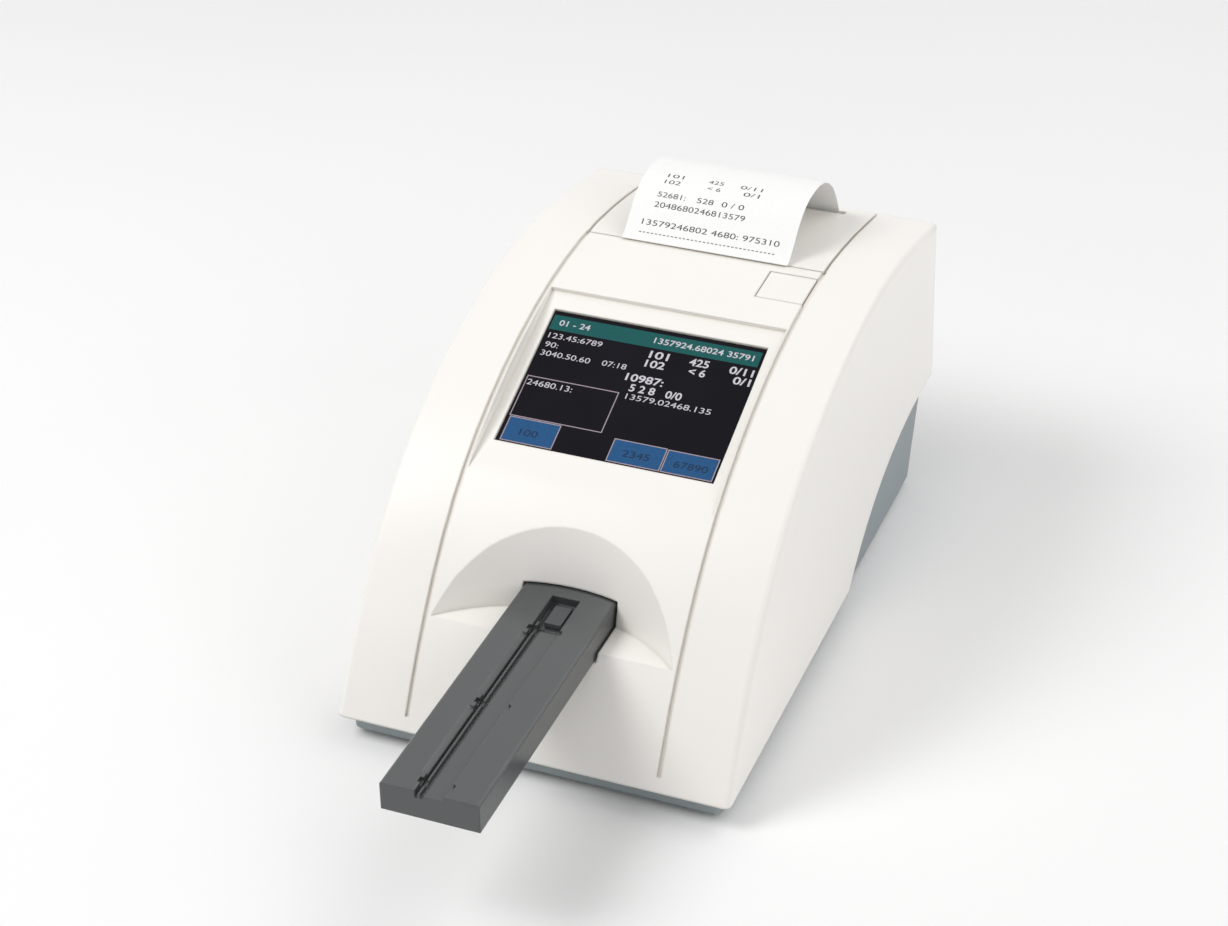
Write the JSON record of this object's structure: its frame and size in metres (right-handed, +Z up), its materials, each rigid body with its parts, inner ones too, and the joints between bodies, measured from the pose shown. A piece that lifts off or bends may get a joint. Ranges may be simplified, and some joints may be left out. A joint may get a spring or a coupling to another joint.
{
  "type": "urine strip analyzer",
  "caption": "Bench urine strip analyzer: arched housing, sunk tilted touch screen, motor-driven strip tray that slides out at the front, thermal receipt printer under a hinged rear door.",
  "frame": {"origin": "on the table under the centre of the analyzer's box, with the tray run out", "axes": "+X to the user's right, +Y from the front with the tray to the rear with the connectors, +Z up"},
  "size_m": [0.127, 0.2846, 0.1183],
  "materials": {
    "cover_plastic": "fine moulded texture, warm white",
    "base_plastic": "fine moulded texture, blue grey",
    "tray_plastic": "smooth moulded, dark grey",
    "reference_pad": "even matt dark grey",
    "black_plastic": "moulded, black",
    "screen_glass": "glossy dark touch film over the display",
    "rubber": "matt black rubber",
    "steel": "zinc plated or bare steel",
    "circuit_board": "green solder mask",
    "acetal": "natural white moulded",
    "lens": "clear moulded lens",
    "paper": "thermal paper, white",
    "ribbon": "flat ribbon cable"
  },
  "bodies": {
    "housing": {"upper_cover": "cover_plastic", "base_housing": "base_plastic", "rubber_foot_1": "rubber", "rubber_foot_2": "rubber", "rubber_foot_3": "rubber", "rubber_foot_4": "rubber", "base_screw_1": "steel", "base_screw_2": "steel", "base_screw_3": "steel", "base_screw_4": "steel", "touch_panel": "screen_glass", "lcd_module": "steel", "display_board": "circuit_board", "display_screw_1": "steel", "display_screw_2": "steel", "display_screw_3": "steel", "display_screw_4": "steel", "display_cable": "ribbon", "tray_guide": "black_plastic", "guide_screw_1": "steel", "guide_screw_2": "steel", "guide_screw_3": "steel", "guide_screw_4": "steel", "feed_motor": "steel", "optics_housing": "black_plastic", "optics_lens": "lens", "optics_board": "circuit_board", "main_board": "circuit_board", "power_jack": "black_plastic", "usb_port": "steel", "serial_port": "steel", "switch_housing": "black_plastic", "hinge_pin_left": "steel", "hinge_pin_right": "steel", "paper_bin": "acetal", "bin_screw_1": "steel", "bin_screw_2": "steel", "bin_screw_3": "steel", "bin_screw_4": "steel", "paper_web": "paper", "printer_frame": "steel", "print_head": "black_plastic", "printer_motor": "steel", "button_board": "circuit_board"},
    "tray": {"strip_tray": "tray_plastic", "reference_pad": "reference_pad", "tray_rack": "acetal"},
    "feed_pinion": {"feed_pinion": "acetal"},
    "door": {"printer_door": "cover_plastic", "paper_strip": "paper"},
    "roll": {"paper_roll": "paper", "paper_spindle": "black_plastic"},
    "platen": {"platen_roller": "rubber", "platen_gear": "acetal"},
    "print_pinion": {"motor_pinion": "acetal"},
    "button": {"function_button": "cover_plastic"},
    "rocker": {"power_rocker": "black_plastic"}
  },
  "joints": [
    {"name": "tray_feed", "type": "slide", "parent": "housing", "child": "tray", "axis": [0, 1, 0], "range_m": [0, 0.095]},
    {"name": "feed_pinion_spin", "type": "hinge", "parent": "housing", "child": "feed_pinion", "pos_m": [0, -0.02175, 0.0309], "axis": [1, 0, 0], "range_deg": [-757, 1]},
    {"name": "printer_door_hinge", "type": "hinge", "parent": "housing", "child": "door", "pos_m": [0, 0.13735, 0.0876], "axis": [-1, 0, 0], "range_deg": [0, 80]},
    {"name": "paper_roll_spin", "type": "hinge", "parent": "housing", "child": "roll", "pos_m": [0, 0.10025, 0.075], "axis": [1, 0, 0], "continuous": true},
    {"name": "platen_spin", "type": "hinge", "parent": "housing", "child": "platen", "pos_m": [0, 0.12845, 0.084], "axis": [1, 0, 0], "continuous": true},
    {"name": "print_pinion_spin", "type": "hinge", "parent": "housing", "child": "print_pinion", "pos_m": [0, 0.13025, 0.07012], "axis": [1, 0, 0], "continuous": true},
    {"name": "function_button_press", "type": "slide", "parent": "housing", "child": "button", "axis": [0, 0, -1], "range_m": [0, 0.0012], "stiffness_N_per_m": 1600, "springref_m": -0.0004},
    {"name": "power_rocker_tilt", "type": "hinge", "parent": "housing", "child": "rocker", "pos_m": [-0.0385, 0.12335, 0.02], "axis": [1, 0, 0], "range_deg": [0, 14]}
  ],
  "couplings": [
    {"joint": "feed_pinion_spin", "follows": "tray_feed", "rad_per_m": -138.89},
    {"joint": "platen_spin", "follows": "paper_roll_spin", "ratio": 4.2222},
    {"joint": "print_pinion_spin", "follows": "paper_roll_spin", "ratio": -5.1605}
  ]
}
